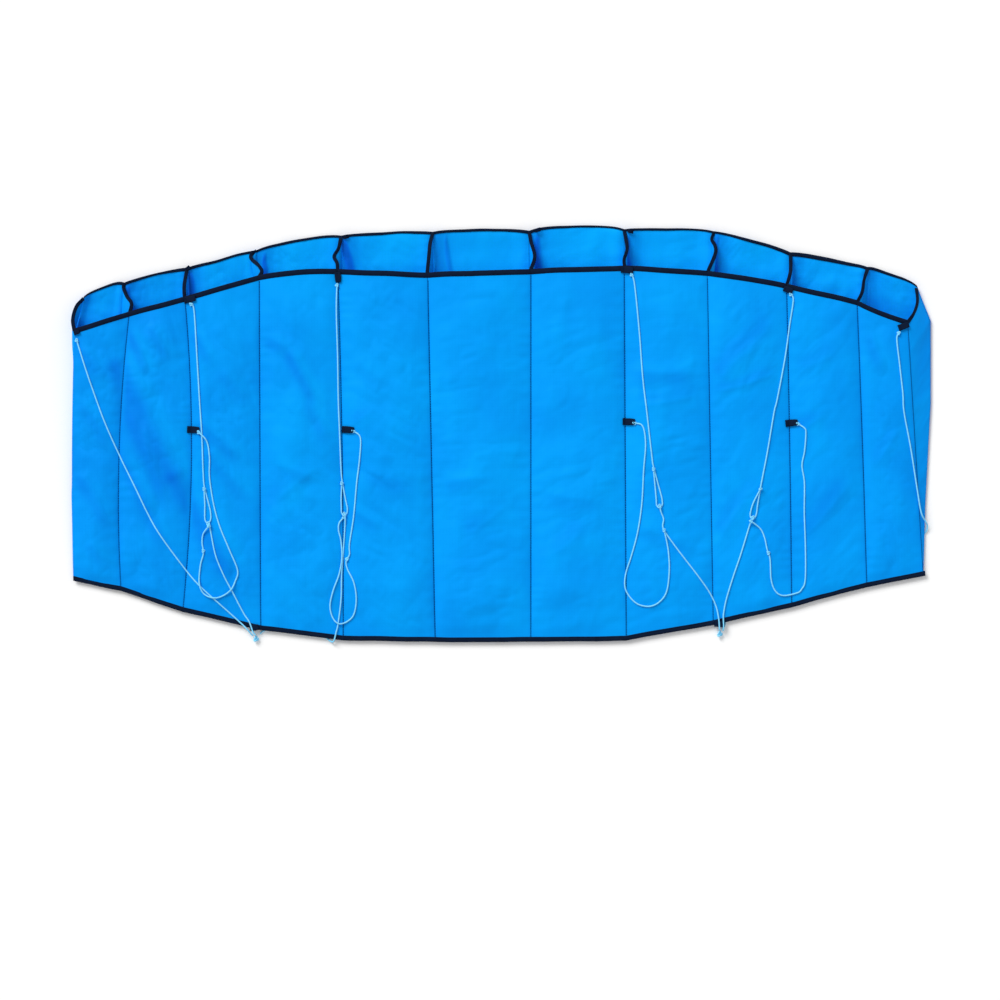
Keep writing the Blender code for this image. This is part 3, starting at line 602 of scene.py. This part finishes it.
# ---- bridle
# Route points: (x, y) on the cloth, (x, y, lift above it), or (x, y, None, height above the floor)
ON = 0.0013
FLOOR = (None, 0.0014)  # a stretch that lies on the floor
ROUTE_STEP = 0.0012
CORD_GAP = 0.0021  # how far apart the middles of two crossing cords are
ROUTES = {
    "cord_tip_left": [
        (-0.693, 0.1515), (-0.673, 0.089), (-0.65, 0.024), (-0.625, -0.034), (-0.598, -0.089),
        (-0.566, -0.153), (-0.522, -0.216), (-0.495, -0.248), (-0.459, -0.281), (-0.428, -0.309, 0.002),
        (-0.417, -0.3195, None, 0.0095), (-0.4095, -0.3285, None, 0.007),
        (-0.4065, -0.3315, None, 0.0055),
    ],
    "cord_a_3": [
        (-0.506, 0.2105), (-0.501, 0.198), (-0.496, 0.114), (-0.492, 0.045), (-0.489, -0.002),
        (-0.487, -0.063), (-0.485, -0.088), (-0.4775, -0.117), (-0.4747, -0.131), (-0.475, -0.1415),
        (-0.4794, -0.1472), (-0.4838, -0.142), (-0.4844, -0.131), (-0.4842, -0.117), (-0.4848, -0.104),
        (-0.4853, -0.091),
    ],
    "cord_main_3": [
        (-0.4782, -0.148), (-0.4755, -0.157), (-0.467, -0.199), (-0.453, -0.234), (-0.44, -0.259),
        (-0.422, -0.294), (-0.4125, -0.3085, 0.003), (-0.406, -0.326, None, 0.01),
        (-0.4015, -0.3305, None, 0.0092),
    ],
    "cord_b_3": [
        (-0.494, 0.0015), (-0.481, -0.013), (-0.4765, -0.039), (-0.4765, -0.073), (-0.47, -0.116),
        (-0.46, -0.152), (-0.444, -0.191), (-0.431, -0.224), (-0.435, -0.242), (-0.443, -0.257),
        (-0.458, -0.267), (-0.472, -0.269), (-0.487, -0.262), (-0.494, -0.244), (-0.492, -0.216),
        (-0.487, -0.196), (-0.489, -0.179), (-0.487, -0.164), (-0.4772, -0.1515),
    ],
    "cord_a_5": [
        (-0.268, 0.2415), (-0.269, 0.199), (-0.267, 0.124), (-0.266, 0.055), (-0.264, 0.001),
        (-0.262, -0.053), (-0.26, -0.078), (-0.254, -0.11), (-0.2516, -0.121), (-0.252, -0.13),
        (-0.2564, -0.135), (-0.2608, -0.13), (-0.2614, -0.12), (-0.2616, -0.105), (-0.2605, -0.0815),
    ],
    "cord_main_5": [
        (-0.2565, -0.1325), (-0.255, -0.144), (-0.258, -0.189), (-0.261, -0.23), (-0.262, -0.271),
        (-0.267, -0.312), (-0.27, -0.325, 0.0022), (-0.273, -0.337, None, 0.008),
        (-0.276, -0.3415, None, 0.0045), (-0.281, -0.3395, None, 0.0015), (-0.29, -0.3335, *FLOOR),
        (-0.315, -0.3275, *FLOOR), (-0.345, -0.323, *FLOOR), (-0.375, -0.3205, *FLOOR),
        (-0.388, -0.3225, *FLOOR), (-0.3955, -0.3285, None, 0.0018),
    ],
    "cord_b_5": [
        (-0.2415, 0.0035), (-0.23, -0.007), (-0.231, -0.04), (-0.236, -0.081), (-0.241, -0.135),
        (-0.248, -0.181), (-0.248, -0.198), (-0.2535, -0.209), (-0.2515, -0.222), (-0.241, -0.244),
        (-0.237, -0.271), (-0.241, -0.296), (-0.252, -0.308), (-0.266, -0.3115), (-0.276, -0.301),
        (-0.28, -0.282), (-0.275, -0.258), (-0.265, -0.23), (-0.2605, -0.203), (-0.262, -0.176),
        (-0.266, -0.158), (-0.2645, -0.146), (-0.2572, -0.1375),
    ],
    "cord_a_8": [
        (0.213, 0.2585), (0.218, 0.242), (0.226, 0.162), (0.231, 0.094), (0.238, 0.034), (0.246, -0.035),
        (0.249, -0.055), (0.2602, -0.096), (0.2632, -0.1085), (0.2632, -0.117), (0.2588, -0.122),
        (0.2544, -0.1175), (0.2536, -0.108), (0.252, -0.09), (0.249, -0.0585),
    ],
    "cord_main_8": [
        (0.2588, -0.1195), (0.2615, -0.129), (0.2655, -0.14), (0.2652, -0.156), (0.282, -0.181),
        (0.301, -0.206), (0.322, -0.233), (0.341, -0.26), (0.352, -0.283), (0.3565, -0.3045, 0.0036),
        (0.3575, -0.3195, None, 0.01), (0.3575, -0.3225, None, 0.009),
    ],
    "cord_b_8": [
        (0.218, 0.0165), (0.229, 0.014), (0.234, 0.003), (0.236, -0.021), (0.233, -0.061), (0.23, -0.116),
        (0.223, -0.163), (0.213, -0.201), (0.204, -0.23), (0.203, -0.252), (0.211, -0.268),
        (0.225, -0.28), (0.244, -0.283), (0.26, -0.275), (0.271, -0.258), (0.275, -0.225),
        (0.274, -0.198), (0.271, -0.178), (0.2662, -0.158),
    ],
    "cord_a_10": [
        (0.473, 0.2265), (0.477, 0.217), (0.471, 0.175), (0.464, 0.124), (0.451, 0.055), (0.446, 0.034),
        (0.435, -0.032), (0.424, -0.089), (0.4195, -0.116), (0.4182, -0.128), (0.416, -0.136),
        (0.4112, -0.1402), (0.4074, -0.1352), (0.4086, -0.1255), (0.413, -0.112), (0.424, -0.0905),
    ],
    "cord_main_10": [
        (0.4112, -0.138), (0.4075, -0.147), (0.402, -0.165), (0.392, -0.198), (0.38, -0.234),
        (0.369, -0.271), (0.3645, -0.294, 0.002), (0.364, -0.3045, 0.0036),
        (0.3645, -0.316, None, 0.0095), (0.3635, -0.3235, None, 0.007),
    ],
    "cord_b_10": [
        (0.485, 0.0155), (0.495, 0.009), (0.498, 0.001), (0.496, -0.029), (0.492, -0.053),
        (0.496, -0.081), (0.496, -0.13), (0.498, -0.184), (0.498, -0.239), (0.492, -0.2555),
        (0.484, -0.2615), (0.462, -0.2655), (0.449, -0.258), (0.442, -0.239), (0.44, -0.206),
        (0.435, -0.189), (0.431, -0.171), (0.424, -0.156), (0.4085, -0.1435),
    ],
    "cord_tip_right": [
        (0.649, 0.1635), (0.646, 0.152), (0.651, 0.109), (0.656, 0.066), (0.658, 0.036), (0.669, -0.021),
        (0.679, -0.081), (0.687, -0.128, None, 0.0145), (0.6945, -0.143, None, 0.0095),
        (0.6985, -0.151, None, 0.005), (0.6975, -0.159, *FLOOR), (0.6925, -0.167, *FLOOR),
        (0.6905, -0.185, *FLOOR), (0.685, -0.207, *FLOOR), (0.66, -0.2215, *FLOOR),
        (0.6, -0.2335, *FLOOR), (0.53, -0.25, *FLOOR), (0.476, -0.2625, *FLOOR), (0.42, -0.279, *FLOOR),
        (0.38, -0.2915, *FLOOR), (0.37, -0.3, *FLOOR), (0.3665, -0.314, *FLOOR),
        (0.363, -0.3215, None, 0.0016),
    ],
}
CORD_BODY = {
    "3": "outer_left", "left": "outer_left", "5": "inner_left",
    "8": "inner_right", "10": "outer_right", "right": "outer_right",
}
# The main line whose end carries the tow knot of its side
TOW_CORDS = {"left": "cord_main_3", "right": "cord_main_8"}
TOW_KNOTS = {"left": (-0.4015, -0.3365, 0.0045), "right": (0.3585, -0.3285, 0.0045)}
# Cords that cross a fold: the bodies, and where along the span the bend starts and ends
CORD_BENDS = {
    "cord_main_5": ("inner_left", "outer_left", -0.386, -0.3955),
    "cord_main_8": ("inner_right", "outer_right", 0.338, 0.3545),
}


def route(points):
    """Dense centreline through the route points, laid on the cloth where they say so."""
    ends = [points[0]] + points + [points[-1]]

    def height(p):
        return p[3] if len(p) == 4 else on_top(p[0] + SHIFT[0], p[1] + SHIFT[1]) + lift(p)

    def lift(p):
        return p[2] if len(p) == 3 else ON

    line = []
    for k in range(1, len(ends) - 2):
        a, b, c, d = ends[k - 1 : k + 3]
        count = max(2, int(math.dist(b[:2], c[:2]) / ROUTE_STEP))
        zb, zc = height(b), height(c)
        for n in range(count + (k == len(ends) - 3)):
            f = n / count
            x, y = (catmull(a[m], b[m], c[m], d[m], f) + SHIFT[m] for m in (0, 1))
            if len(b) == 4 or len(c) == 4:
                z = mix(zb, zc, smooth(f) if abs(zb - zc) > 0.002 else f)
            else:
                z = on_top(x, y) + mix(lift(b), lift(c), f)
            line.append((x, y, float(z)))
    return np.array(line)


def lift_over(line, laid):
    """Raise a cord where it crosses one laid before it, or an earlier stretch of itself."""
    need = np.zeros(len(line))
    before = np.vstack(laid) if laid else np.zeros((0, 3))
    for k, p in enumerate(line):
        own = line[: max(0, k - 12)]
        others = np.vstack([before, own])
        flat = np.hypot(others[:, 0] - p[0], others[:, 1] - p[1])
        near = (flat < CORD_GAP) & (np.abs(others[:, 2] - p[2]) < CORD_GAP)
        if near.any():
            need[k] = max(0.0, (others[near, 2] + np.sqrt(CORD_GAP**2 - flat[near] ** 2) - p[2]).max())
    raised = line.copy()
    for k in range(len(line)):
        m = np.arange(max(0, k - 11), min(len(line), k + 12))
        raised[k, 2] += (need[m] * smooth(1 - np.maximum(0, np.abs(m - k) - 2) / 10)).max()
    return raised


def settle(line):
    """Let a cord bridge the small dips of the cloth in place of following each wrinkle."""
    z = line[:, 2].copy()
    for _ in range(40):
        z[1:-1] = np.maximum(line[1:-1, 2], 0.5 * (z[:-2] + z[2:]) - 0.00002)
    return np.column_stack([line[:, :2], z])


def knot(name, at, size, body, heading, strand=0.001, tilt=0.3):
    """An overhand knot: a trefoil of cord."""
    a = np.linspace(0, 2 * math.pi, 72)
    x = (np.sin(a) + 2 * np.sin(2 * a)) / 3 * size * 1.25
    y = (np.cos(a) - 2 * np.cos(2 * a)) / 3 * size
    z = -np.sin(3 * a) / 3 * size * 0.85
    y, z = y * math.cos(tilt) - z * math.sin(tilt), y * math.sin(tilt) + z * math.cos(tilt)
    c, s = math.cos(heading), math.sin(heading)
    pts = np.stack([x * c - y * s, x * s + y * c, z], -1) + np.asarray(at)
    piece = tube(name, pts, strand, CORD)
    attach(piece, body)
    return piece


def make_bridle():
    """The fourteen cords, their knots and the two tow knots."""
    lines = {}
    for name, points in ROUTES.items():
        lines[name] = settle(lift_over(route(points), list(lines.values())))
    knots = {}

    def tie(cord, share, size, label):
        """A knot at a share of a cord's length, turned along it."""
        line = lines[cord]
        k = int(share * (len(line) - 1))
        step = line[min(k + 4, len(line) - 1)] - line[max(k - 4, 0)]
        place = line[k] + np.array([0, 0, 0.0006])
        body = CORD_BODY[cord.split("_")[-1]]
        made = knot(f"{cord}_knot_{label}", place, size, body, math.atan2(step[1], step[0]))
        knots.setdefault(cord, []).append(made)

    for cord in ROUTES:
        if not cord.startswith("cord_main"):
            tie(cord, 0.0, 0.0024, "top")
    for rib in ("3", "5", "8", "10"):
        tie("cord_a_" + rib, 1.0, 0.0022, "end")
        tie("cord_main_" + rib, 0.0, 0.0028, "start")
        tie("cord_b_" + rib, 1.0, 0.0022, "end")
    tie("cord_b_5", 0.415, 0.0024, "mid")
    tie("cord_b_3", 0.9, 0.0022, "mid")
    tie("cord_b_10", 0.865, 0.0024, "mid")

    for name, (x, y, z) in TOW_KNOTS.items():
        place = (x + SHIFT[0], y + SHIFT[1], z)
        made = knot("tow_loop_" + name, place, 0.0036, "outer_" + name, 1.2, strand=CORD_R, tilt=0.2)
        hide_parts("tow_knot_" + name)
        knots.setdefault(TOW_CORDS[name], []).append(made)

    for cord, line in lines.items():
        piece = tube(cord + "_line", line, CORD_R, CORD)
        if cord in CORD_BENDS:
            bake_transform(piece)
        else:
            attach(piece, CORD_BODY[cord.split("_")[-1]])
        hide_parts(cord)


# ---- cloth panels


def panel_tone(i, u, t, x, y):
    """How light the cloth is: darker along seams and by the tail, with painted shade on one side of each
    crease and a painted highlight on the other.
    """
    d = np.minimum(u, 1 - u) * cell_width(i)
    tone = 0.6 - np.where(x < 0, 0.09, 0.04) * np.clip((np.abs(x) - 0.3) / 0.35, 0, 1)
    tone = tone - 0.05 * np.exp(-((t) / 0.035) ** 2)
    # painted shade on one side of each crease and a painted highlight on the other, in the cloth's tone
    for ax, ay, bx, by, _, broad, dark in near_creases(x, y):
        off, present = crease_frame(x, y, ax, ay, bx, by, ax * 99)
        side = -off / broad * np.sign(dark)
        painted_shade, painted_highlight = np.exp(-((side - 0.9) ** 2)), np.exp(-((side + 0.9) ** 2) * 1.5)
        tone = tone - abs(dark) * (painted_shade - 0.4 * painted_highlight) * present * smooth(d / 0.008)
    return tone - 0.05 * np.exp(-((d / 0.004) ** 2))


def panel(name, i, surface, tone_of, us, ts, material, offset):
    """One cell's cloth as a grid, thickened on the side that offset says."""
    u, t = np.meshgrid(us, ts)
    pts = surface(i, u, t)
    tones = tone_of(i, u, t, pts[..., 0] - SHIFT[0], pts[..., 1] - SHIFT[1])
    obj = mesh_object(name, pts, grid_faces(len(ts), len(us)), material, pts[..., :2], tones)
    return thicken(obj, CLOTH_THICK, offset), pts


def area_of(pts):
    a, b = pts[1:, :-1] - pts[:-1, :-1], pts[:-1, 1:] - pts[:-1, :-1]
    return float(np.linalg.norm(np.cross(a, b), axis=-1).sum())


def declare_sheet(pts):
    """Works out the cut size of a piece of cloth, measured on its own surface; the result is not kept."""
    wide = max(float(arc_lengths(row)[-1]) for row in (pts[0], pts[len(pts) // 2], pts[-1]))
    long = max(float(arc_lengths(pts[:, k])[-1]) for k in (0, pts.shape[1] // 2, -1))
    area = min(area_of(pts), 0.999 * wide * long)
    wide = min(wide, area / (0.36 * long))


def up_tone(i, u, t, x, y):
    """The inside of the upper skin: painted shade beside the ribs, under the lower skin's leading edge and
    where a rib's cloth lies folded.
    """
    d = np.minimum(u, 1 - u) * cell_width(i)
    # painted shade beside each rib: broad on the rib's right side, narrow on its left side
    tone = 0.6 - np.where(u < 0.5, 0.17 * np.exp(-((d / 0.026) ** 2)), 0.08 * np.exp(-((d / 0.009) ** 2)))
    tone = tone - 0.07 * np.clip((np.abs(x) - 0.35) / 0.35, 0, 1)
    if i in RIB_FOLDS:
        # painted shade where a rib's cloth lies folded in two layers
        tone = tone - RIB_FOLDS[i][3] * fold_band(i, x, y)
    # painted shade where the upper skin lies under the lower skin
    return tone - 0.05 * smooth((0.93 - t) / 0.04)


def make_panels():
    for i in range(CELLS):
        body = body_of_cell(i)
        edge = 0.004 / (RIBS[i][0][1] - RIBS[i][1][1])
        us = np.concatenate([[SEAM_GAP, 0.012], np.linspace(0.03, 0.97, 58), [0.988, 1 - SEAM_GAP]])
        ts = np.linspace(edge, 1 - edge, 200)
        piece, pts = panel(f"lower_panel_{i + 1:02d}", i, low_surface, panel_tone, us, ts, CLOTH, -1)
        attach(piece, body)
        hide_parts("lower_skin_" + body)
        declare_sheet(pts)

        ts = np.concatenate([np.linspace(edge, 0.82, 90, endpoint=False), np.linspace(0.82, 0.996, 40)])
        near, rest = np.linspace(0.02, 0.34, 32), np.linspace(0.36, 0.97, 26)
        us = np.concatenate([[0, 0.01], near, rest, [0.988, 1]])
        piece, pts = panel(f"upper_panel_{i + 1:02d}", i, up_surface, up_tone, us, ts, CLOTH_IN_PAINTED_LIGHT, 1)
        hinge_cell(piece, i, body)
        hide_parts("upper_skin_" + body)
        declare_sheet(pts)


def hinge_cell(piece, i, body):
    """A panel away from a fold rides on its own body; the one next to a fold stays where it is, on no body.
    """
    if i not in BENDING:
        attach(piece, body)
        return
    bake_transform(piece)


def front_route(i, count):
    """Front edge of a rib, from the lower leading edge down to the upper one."""
    plan = smooth_line(RIB_FRONTS[i], count) + SHIFT
    f = np.linspace(0, 1, count)
    z = mix(SEAM_NOSE - 0.0006, UPPER_SEAM + 0.005, f**1.15)
    return np.column_stack([plan, z])


def make_ribs():
    """The slack walls between the cells, and the tape on each one's front edge."""
    for i in range(CELLS + 1):
        body = RIB_BODY[i]
        rows, cols = 90, 14
        v, w = np.meshgrid(np.linspace(0, 1, rows), np.linspace(0, 1, cols), indexing="ij")
        t = mix(0.05, 1.0, v)
        lx, ly = seam_low(i, t)
        ux, uy = seam_up(i, mix(0.05, 0.985, v))
        x, y = mix(ux, lx, w), mix(uy, ly, w)
        z = mix(UPPER_SEAM + 0.0008, seam_height(t) - 0.0006, w)
        front = front_route(i, cols)[::-1]
        bend = smooth((v - 0.8) / 0.2)
        pts = np.stack([x + SHIFT[0], y + SHIFT[1], z], -1)
        pts = pts + (front - pts[-1]) * bend[..., None]
        if i not in END_SEAMS:
            slack = (0.004 + 0.0035 * noise(v * 9, i * 1.7 + 0.3, 51)) * (1 - bend) * smooth(v / 0.2)
            pts[..., 0] += np.sin(math.pi * w) * slack * (1 if i % 2 else -1)
        run = arc_lengths(pts[:, cols // 2])
        uv = grid_places(run, np.linspace(0, 0.05, cols))
        # painted shade: the ribs' cloth is darker than the skins, most at its foot on the upper skin
        tone = 0.47 + 0.05 * w
        piece = mesh_object(f"rib_panel_{i + 1:02d}", pts, grid_faces(rows, cols), CLOTH_IN_PAINTED_LIGHT, uv, tone)
        thicken(piece, CLOTH_THICK, 0)
        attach(piece, body)
        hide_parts(f"rib_{i + 1:02d}")
        declare_sheet(pts)

        line = front_route(i, 60)
        ahead = np.gradient(line, axis=0)
        flat = np.stack([-ahead[:, 1], ahead[:, 0], np.zeros(60)], -1)
        flat /= np.linalg.norm(flat, axis=1, keepdims=True)
        lean = 0.35 + 0.45 * noise(np.linspace(0, 3, 60), i * 2.3, 61)
        rise = np.cross(ahead / np.linalg.norm(ahead, axis=1, keepdims=True), flat)
        width_dir = flat * np.cos(lean)[:, None] + rise * np.sin(lean)[:, None]
        tape = ribbon(f"rib_tape_{i + 1:02d}", line + [0, 0, 0.0006], 0.006, width_dir, 0.001, NAVY)
        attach(tape, body)


# ---- binding tapes


def bound_edge(name, edge_of, us, wide, material):
    """Tape folded over an edge. edge_of(u, back) gives the cloth point back metres in from the edge."""
    profile = [
        (1, 0.0001), (0.96, 0.0006), (0.5, 0.0007), (0.1, 0.0006), (-0.03, 0.0002),
        (-0.03, -0.0006), (0.1, -0.001), (0.5, -0.0011), (0.96, -0.001), (1, -0.0005),
    ]
    rows = [edge_of(us, share * wide) + np.array([0, 0, high]) for share, high in profile]
    pts = np.stack(rows, 0)
    run = arc_lengths(pts[3])
    around = arc_lengths(pts[:, 0])
    uv = grid_places(around, run)[..., ::-1]
    return mesh_object(name, pts, grid_faces(len(profile), len(us))[:, ::-1], material, uv)


def nose_width(x):
    """Visible width of the upper leading edge's tape, which twists and narrows in places."""
    wide = 0.004 + 0.003 * np.exp(-(((x - 0.49) / 0.07) ** 2))
    wide = wide + 0.0014 * np.exp(-(((x + 0.6) / 0.03) ** 2))
    return np.maximum(0.0024, wide + 0.0014 * noise(x * 23, 2.5, 71))


def make_tapes():
    """Binding on the lower leading edge, the tail and the upper leading edge, cell by cell."""
    for i in range(CELLS):
        body = body_of_cell(i)
        us = np.linspace(0, 1, 44)

        def mouth_edge(u, back):
            pts = low_surface(i, u, 1 - np.maximum(back, 0) / chord(plan_low, i, u))
            pts[:, 1] += np.maximum(-back, 0)
            return pts

        def tail_edge(u, back):
            pts = low_surface(i, u, np.maximum(back, 0) / chord(plan_low, i, u))
            pts[:, 1] -= np.maximum(-back, 0)
            pts[:, 2] = np.minimum(pts[:, 2], SEAM_TAIL + 0.0004)
            return pts

        def nose_edge(u, back):
            pts = up_surface(i, u, 1 - np.maximum(back, 0) / chord(plan_up, i, u))
            pts[:, 1] += np.maximum(-back, 0)
            pts[:, 2] += 0.0009
            return pts

        ends = np.append(us, 1.035) if i == CELLS - 1 else us
        kinds = (
            ("mouth", mouth_edge, us, MOUTH_TAPE),
            ("tail", tail_edge, ends, TAIL_TAPE),
            ("nose", nose_edge, us, nose_width(plan_low(i, us, 1.0)[0])),
        )
        for kind, edge_of, along, wide in kinds:
            piece = bound_edge(f"{kind}_tape_{i + 1:02d}", edge_of, along, wide, NAVY)
            if kind == "nose":
                hinge_cell(piece, i, body)
            else:
                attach(piece, body)
                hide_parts(f"{kind}_tape_{body}")


# ---- stitches
# Length of a stitch, gap to the next one, and width of the thread
SEAM_STITCH = (0.0032, 0.0008, 0.0007)
TAPE_STITCH = (0.0026, 0.001, 0.0005)
BAR_STITCH = (0.0011, 0.0003, 0.0006)


def stitch_run(name, points, length, gap, size, body, material):
    """Short raised stitches along a line."""
    run = arc_lengths(points)
    count = int(run[-1] / (length + gap))
    verts, faces = [], []
    for k in range(count):
        at = np.array([k * (length + gap), k * (length + gap) + length])
        p = np.stack([np.interp(at, run, points[:, m]) for m in range(3)], -1)
        along = (p[1] - p[0]) / np.linalg.norm(p[1] - p[0])
        side = np.cross(along, (0, 0, 1)) * size
        top = np.array([0, 0, size * 0.9])
        base = len(verts)
        for f, high in ((0.0, 0.1), (0.2, 0.8), (0.8, 0.8), (1.0, 0.1)):
            c = mix(p[0], p[1], f)
            rise = top * high
            verts += [c - side * 0.6, c - side * 0.4 + rise, c + side * 0.4 + rise, c + side * 0.6]
        for r in range(3):
            for q in range(3):
                a = base + r * 4 + q
                faces.append((a, a + 1, a + 5, a + 4))
    piece = mesh_object(name, verts, faces, material)
    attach(piece, body)


def make_stitches():
    """The rib seams of the lower skin, and one row along each mouth and tail tape."""
    for i in range(1, CELLS + 1):
        t = np.linspace(0.0135, 0.9852, 260)
        body = RIB_BODY[i]
        cell = i if (i < CELLS and body_of_cell(i) == body) else i - 1
        inset = 0.0045 if cell == i else 0.9955
        line = low_surface(cell, inset, t)
        line[:, 0] = (seam_low(i, t)[0] + SHIFT[0]) + (0.0004 if cell == i else -0.0004)
        line[:, 2] = seam_height(t) + 0.0004
        stitch_run(f"seam_stitches_{i + 1:02d}", line, *SEAM_STITCH, body, THREAD)
    for i in range(CELLS):
        body = body_of_cell(i)
        us = np.linspace(0.01, 0.99, 60)
        long = chord(plan_low, i, us)
        line = low_surface(i, us, 1 - 0.0072 / long) + [0, 0, 0.0008]
        stitch_run(f"mouth_stitches_{i + 1:02d}", line, *TAPE_STITCH, body, TAPE_THREAD)
        line = low_surface(i, us, 0.0064 / long)
        line[:, 2] = np.minimum(line[:, 2], SEAM_TAIL + 0.0004) + 0.0008
        stitch_run(f"tail_stitches_{i + 1:02d}", line, *TAPE_STITCH, body, TAPE_THREAD)


# ---- tabs
# Centre in plan, half length and half width (the larger is the way it runs), turn, body
TABS = {
    "tab_nose_1": (-0.6935, 0.1645, 0.0045, 0.0035, 0.3, "outer_left"),
    "tab_nose_3": (-0.509, 0.2185, 0.009, 0.0052, 0.22, "outer_left"),
    "tab_nose_5": (-0.2665, 0.2555, 0.005, 0.008, 0.06, "inner_left"),
    "tab_nose_8": (0.205, 0.2665, 0.0092, 0.0052, -0.1, "inner_right"),
    "tab_nose_10": (0.468, 0.2345, 0.007, 0.0048, -0.35, "outer_right"),
    "tab_nose_12": (0.6565, 0.1745, 0.0085, 0.005, 0.35, "outer_right"),
    "tab_mid_3": (-0.504, 0.006, 0.0092, 0.0055, -0.04, "outer_left"),
    "tab_mid_5": (-0.251, 0.006, 0.0092, 0.0055, -0.06, "inner_left"),
    "tab_mid_8": (0.208, 0.019, 0.0092, 0.0055, -0.03, "inner_right"),
    "tab_mid_10": (0.474, 0.017, 0.0092, 0.0055, 0.1, "outer_right"),
    "tab_tail_4": (-0.405, -0.318, 0.0066, 0.0052, 0.15, "outer_left"),
    "tab_tail_9": (0.3575, -0.312, 0.008, 0.0052, -0.15, "outer_right"),
}


def make_tabs():
    """Folded loops of tape, sewn down at one end and open at the other, with a bar of stitches."""
    for name, (cx, cy, hx, hy, turn, body) in TABS.items():
        upright = hy > hx
        long, wide = (hy, hx) if upright else (hx, hy)
        a = np.linspace(-1, 1, 26)
        lower = np.stack([a * long, np.full(26, 0.0004)], -1)
        bend = np.linspace(-math.pi / 2, math.pi / 2, 9)[1:-1]
        curl = np.stack([long + 0.0011 * np.cos(bend), 0.0015 + 0.0011 * np.sin(bend)], -1)
        upper = np.stack([a[::-1] * long, 0.0026 - 0.0012 * smooth((-a[::-1] - 0.2) / 0.8)], -1)
        profile = np.vstack([lower, curl, upper])

        def place(across, along, high):
            """A point of the tab, which narrows a little towards its open end."""
            narrow = 1 - 0.16 * max(0.0, along / long) ** 2
            dx, dy = (across * wide * narrow, -along) if upright else (along, across * wide * narrow)
            c, s = math.cos(turn), math.sin(turn)
            x, y = cx + SHIFT[0] + dx * c - dy * s, cy + SHIFT[1] + dx * s + dy * c
            return (x, y, on_top(x, y) + 0.0006 + high)

        across = np.linspace(-1, 1, 7)
        rows = [[place(b, s, high * (1 - 0.12 * abs(b) ** 3)) for b in across] for s, high in profile]
        pts = np.array(rows)
        run = arc_lengths(profile)
        uv = grid_places(run, across * wide)
        piece = thicken(mesh_object(name + "_loop", pts, grid_faces(len(pts), 7), NAVY, uv), 0.0007, 0)
        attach(piece, body)
        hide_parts(name)
        bar = np.array([place(b, -0.62 * long, 0.0023) for b in np.linspace(-0.85, 0.85, 12)])
        stitch_run(name + "_stitches", bar, *BAR_STITCH, body, TAPE_THREAD)


# Short ends of tape on the upper leading edge at four ribs: index, place in plan, turn
EARS = [(2, -0.513, 0.27, 0.7), (4, -0.254, 0.322, 0.2), (6, 0.06, 0.333, 0.3), (7, 0.212, 0.331, -0.2)]


def make_ears():
    for i, x, y, turn in EARS:
        s = np.linspace(-0.0045, 0.0045, 8)
        ahead = (x + SHIFT[0] + s * math.cos(turn), y + SHIFT[1] + s * math.sin(turn))
        line = np.stack([*ahead, 0.0115 + 0.0012 * np.cos(s * 500)], -1)
        side = np.tile([-math.sin(turn), math.cos(turn), 0.35], (8, 1))
        piece = ribbon(f"tape_end_{i + 1:02d}", line, 0.0065, side, 0.0011, NAVY)
        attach(piece, RIB_BODY[i])


# ---- assembly
set_stage()
CORD = cord_material()
NAVY = tape_material()
THREAD = thread_material("seam_thread", (0.0005, 0.04, 0.15), (0.001, 0.072, 0.24))
TAPE_THREAD = thread_material("tape_thread", (0.001, 0.008, 0.03), (0.002, 0.014, 0.05))
CLOTH = cloth_material("sky_cloth", (0.0, 0.15, 0.72), (0.0, 0.345, 0.93), (0.003, 0.43, 1.0))
# painted light: a brighter copy of the cloth for the upper skin's inside and the ribs, lifting the shade in
# the mouths
CLOTH_IN_PAINTED_LIGHT = cloth_material("sky_cloth_inside_painted_light", (0.0, 0.15, 0.78), (0.0, 0.4, 1.0), (0.005, 0.5, 1.0))
make_bridle()
make_panels()
make_ribs()
make_tapes()
make_stitches()
make_tabs()
make_ears()
